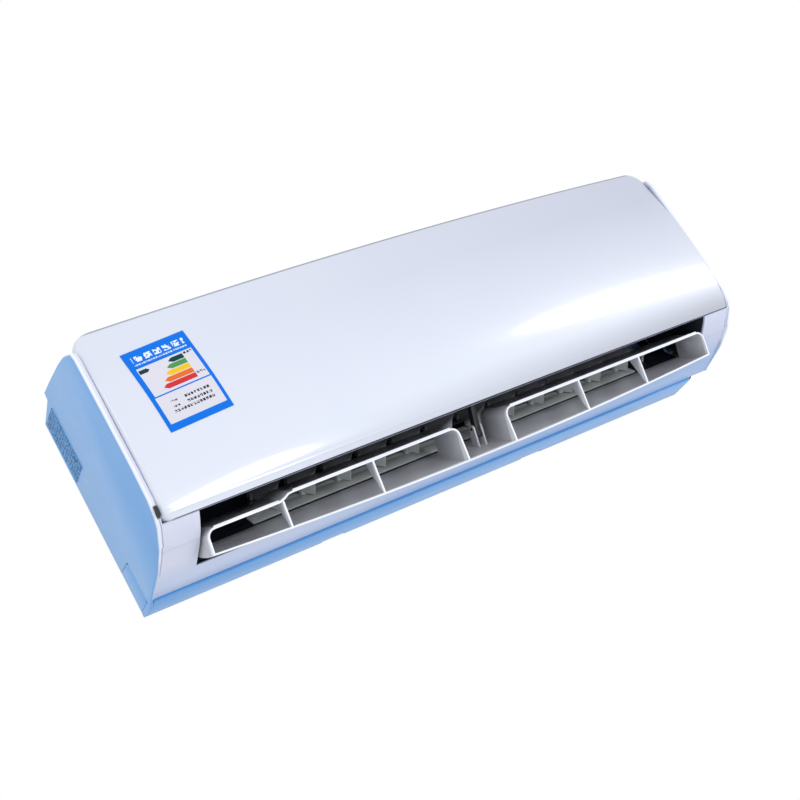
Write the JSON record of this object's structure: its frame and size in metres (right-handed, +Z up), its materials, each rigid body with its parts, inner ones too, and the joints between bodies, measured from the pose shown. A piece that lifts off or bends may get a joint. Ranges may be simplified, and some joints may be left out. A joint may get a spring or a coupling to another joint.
{
  "type": "wall-mounted fan coil unit",
  "caption": "Wide wall-hung indoor air unit with a crowned front panel, a double-bladed outlet flap, linked swing vanes, a cross-flow fan and a folded coil.",
  "frame": {"origin": "middle of the wall plate's four-screw pattern, on the wall's surface", "axes": "+X to the right as seen from the front, +Y into the wall, +Z up"},
  "size_m": [0.7403, 0.1515, 0.2423],
  "materials": {
    "casing": "satin moulded plastic, cool pale blue",
    "grille": "satin moulded plastic",
    "panel": "high gloss white",
    "panel_sticker": "printed film with plain bars",
    "side_sticker": "printed film",
    "black_plastic": "matt black",
    "rubber": "soft black",
    "filter_net": "fine net in a moulded frame",
    "fins": "bare thin fins",
    "steel": "zinc-plated sheet steel",
    "copper": "bare copper",
    "brass": "turned",
    "duct": "moulded foam-backed plastic",
    "hose": "soft hose",
    "rotor": "glass-filled plastic",
    "motor_can": "galvanised",
    "louver_white": "satin white",
    "vane_grey": "matt grey",
    "link_grey": "matt dark grey",
    "small_motor": "matt pale grey",
    "box_white": "flame-resistant plastic",
    "circuit": "green lacquer"
  },
  "bodies": {
    "unit": {"front_frame": "casing", "knockout_cover": "casing", "rear_chassis": "casing", "intake_grille": "grille", "rating_plate": "side_sticker", "panel_catch": "black_plastic", "louver_arm": "black_plastic", "louver_bush": "black_plastic", "terminal_block": "black_plastic", "bearing_seat": "rubber", "motor_rings": "rubber", "coil_fins_front": "fins", "coil_fins_rear": "fins", "tube_sheets": "steel", "wall_plate": "steel", "motor_clamp": "steel", "clamp_screws": "steel", "coil_tubes": "copper", "return_bends": "copper", "supply_pipe": "copper", "return_pipe": "copper", "air_sensor": "copper", "pipe_nuts": "brass", "fan_bearing": "brass", "outlet_duct": "duct", "drain_hose": "hose", "fan_motor": "motor_can", "vane_base": "vane_grey", "louver_motor": "small_motor", "vane_motor": "small_motor", "control_box": "box_white", "control_cover": "box_white", "control_board": "circuit"},
    "front_panel_body": {"front_panel": "panel", "panel_hinge_arms": "panel", "panel_label": "panel_sticker"},
    "filter_left": {"air_filter_left": "filter_net"},
    "filter_right": {"air_filter_right": "filter_net"},
    "fan": {"fan_rotor": "rotor", "fan_shaft": "steel"},
    "louver_body": {"louver": "louver_white"},
    "button": {"emergency_button": "box_white"},
    "tie_rod": {"vane_tie_rod": "link_grey"},
    "crank": {"vane_crank": "small_motor"},
    "body_vane_01": {"vane_01": "vane_grey"},
    "body_vane_02": {"vane_02": "vane_grey"},
    "body_vane_03": {"vane_03": "vane_grey"},
    "body_vane_04": {"vane_04": "vane_grey"},
    "body_vane_05": {"vane_05": "vane_grey"},
    "body_vane_06": {"vane_06": "vane_grey"},
    "body_vane_07": {"vane_07": "vane_grey"},
    "body_vane_08": {"vane_08": "vane_grey"},
    "body_vane_09": {"vane_09": "vane_grey"},
    "body_vane_10": {"vane_10": "vane_grey"},
    "body_vane_11": {"vane_11": "vane_grey"},
    "body_vane_12": {"vane_12": "vane_grey"}
  },
  "joints": [
    {"name": "panel_hinge", "type": "hinge", "parent": "unit", "child": "front_panel_body", "pos_m": [0, -0.116, 0.089], "axis": [-1, 0, 0], "range_deg": [0, 60]},
    {"name": "filter_left_slide", "type": "slide", "parent": "unit", "child": "filter_left", "axis": [0, 0.0366, 0.9993], "range_m": [0, 0.01]},
    {"name": "filter_right_slide", "type": "slide", "parent": "unit", "child": "filter_right", "axis": [0, 0.0366, 0.9993], "range_m": [0, 0.01]},
    {"name": "fan_spin", "type": "hinge", "parent": "unit", "child": "fan", "pos_m": [0, -0.061, -0.007], "axis": [1, 0, 0], "continuous": true},
    {"name": "louver_tilt", "type": "hinge", "parent": "unit", "child": "louver_body", "pos_m": [0, -0.08, -0.097], "axis": [1, 0, 0], "range_deg": [-50, 8]},
    {"name": "button_press", "type": "slide", "parent": "unit", "child": "button", "axis": [0, 1, 0], "range_m": [0, 0.0015], "stiffness_N_per_m": 200},
    {"name": "vane_swing", "type": "hinge", "parent": "unit", "child": "body_vane_01", "pos_m": [-0.2275, -0.04339, -0.08289], "axis": [0, -0.766, 0.6428], "range_deg": [-70, 10]},
    {"name": "vane_02_swing", "type": "hinge", "parent": "unit", "child": "body_vane_02", "pos_m": [-0.1845, -0.04339, -0.08289], "axis": [0, -0.766, 0.6428], "range_deg": [-70, 10]},
    {"name": "vane_03_swing", "type": "hinge", "parent": "unit", "child": "body_vane_03", "pos_m": [-0.1415, -0.04339, -0.08289], "axis": [0, -0.766, 0.6428], "range_deg": [-70, 10]},
    {"name": "vane_04_swing", "type": "hinge", "parent": "unit", "child": "body_vane_04", "pos_m": [-0.0985, -0.04339, -0.08289], "axis": [0, -0.766, 0.6428], "range_deg": [-70, 10]},
    {"name": "vane_05_swing", "type": "hinge", "parent": "unit", "child": "body_vane_05", "pos_m": [-0.0555, -0.04339, -0.08289], "axis": [0, -0.766, 0.6428], "range_deg": [-70, 10]},
    {"name": "vane_06_swing", "type": "hinge", "parent": "unit", "child": "body_vane_06", "pos_m": [-0.0125, -0.04339, -0.08289], "axis": [0, -0.766, 0.6428], "range_deg": [-70, 10]},
    {"name": "vane_07_swing", "type": "hinge", "parent": "unit", "child": "body_vane_07", "pos_m": [0.0305, -0.04339, -0.08289], "axis": [0, -0.766, 0.6428], "range_deg": [-70, 10]},
    {"name": "vane_08_swing", "type": "hinge", "parent": "unit", "child": "body_vane_08", "pos_m": [0.0735, -0.04339, -0.08289], "axis": [0, -0.766, 0.6428], "range_deg": [-70, 10]},
    {"name": "vane_09_swing", "type": "hinge", "parent": "unit", "child": "body_vane_09", "pos_m": [0.1165, -0.04339, -0.08289], "axis": [0, -0.766, 0.6428], "range_deg": [-70, 10]},
    {"name": "vane_10_swing", "type": "hinge", "parent": "unit", "child": "body_vane_10", "pos_m": [0.1595, -0.04339, -0.08289], "axis": [0, -0.766, 0.6428], "range_deg": [-70, 10]},
    {"name": "vane_11_swing", "type": "hinge", "parent": "unit", "child": "body_vane_11", "pos_m": [0.2025, -0.04339, -0.08289], "axis": [0, -0.766, 0.6428], "range_deg": [-70, 10]},
    {"name": "vane_12_swing", "type": "hinge", "parent": "unit", "child": "body_vane_12", "pos_m": [0.2455, -0.04339, -0.08289], "axis": [0, -0.766, 0.6428], "range_deg": [-70, 10]},
    {"name": "crank_swing", "type": "hinge", "parent": "unit", "child": "crank", "pos_m": [0.2885, -0.04339, -0.08289], "axis": [0, -0.766, 0.6428], "range_deg": [-70, 10]},
    {"name": "tie_rod_pivot", "type": "hinge", "parent": "body_vane_01", "child": "tie_rod", "pos_m": [-0.235, -0.03887, -0.06973], "axis": [0, -0.766, 0.6428], "range_deg": [-10, 70]}
  ],
  "couplings": [
    {"joint": "vane_02_swing", "follows": "vane_swing", "ratio": 1},
    {"joint": "vane_03_swing", "follows": "vane_swing", "ratio": 1},
    {"joint": "vane_04_swing", "follows": "vane_swing", "ratio": 1},
    {"joint": "vane_05_swing", "follows": "vane_swing", "ratio": 1},
    {"joint": "vane_06_swing", "follows": "vane_swing", "ratio": 1},
    {"joint": "vane_07_swing", "follows": "vane_swing", "ratio": 1},
    {"joint": "vane_08_swing", "follows": "vane_swing", "ratio": 1},
    {"joint": "vane_09_swing", "follows": "vane_swing", "ratio": 1},
    {"joint": "vane_10_swing", "follows": "vane_swing", "ratio": 1},
    {"joint": "vane_11_swing", "follows": "vane_swing", "ratio": 1},
    {"joint": "vane_12_swing", "follows": "vane_swing", "ratio": 1},
    {"joint": "crank_swing", "follows": "vane_swing", "ratio": 1},
    {"joint": "tie_rod_pivot", "follows": "vane_swing", "ratio": -1}
  ]
}
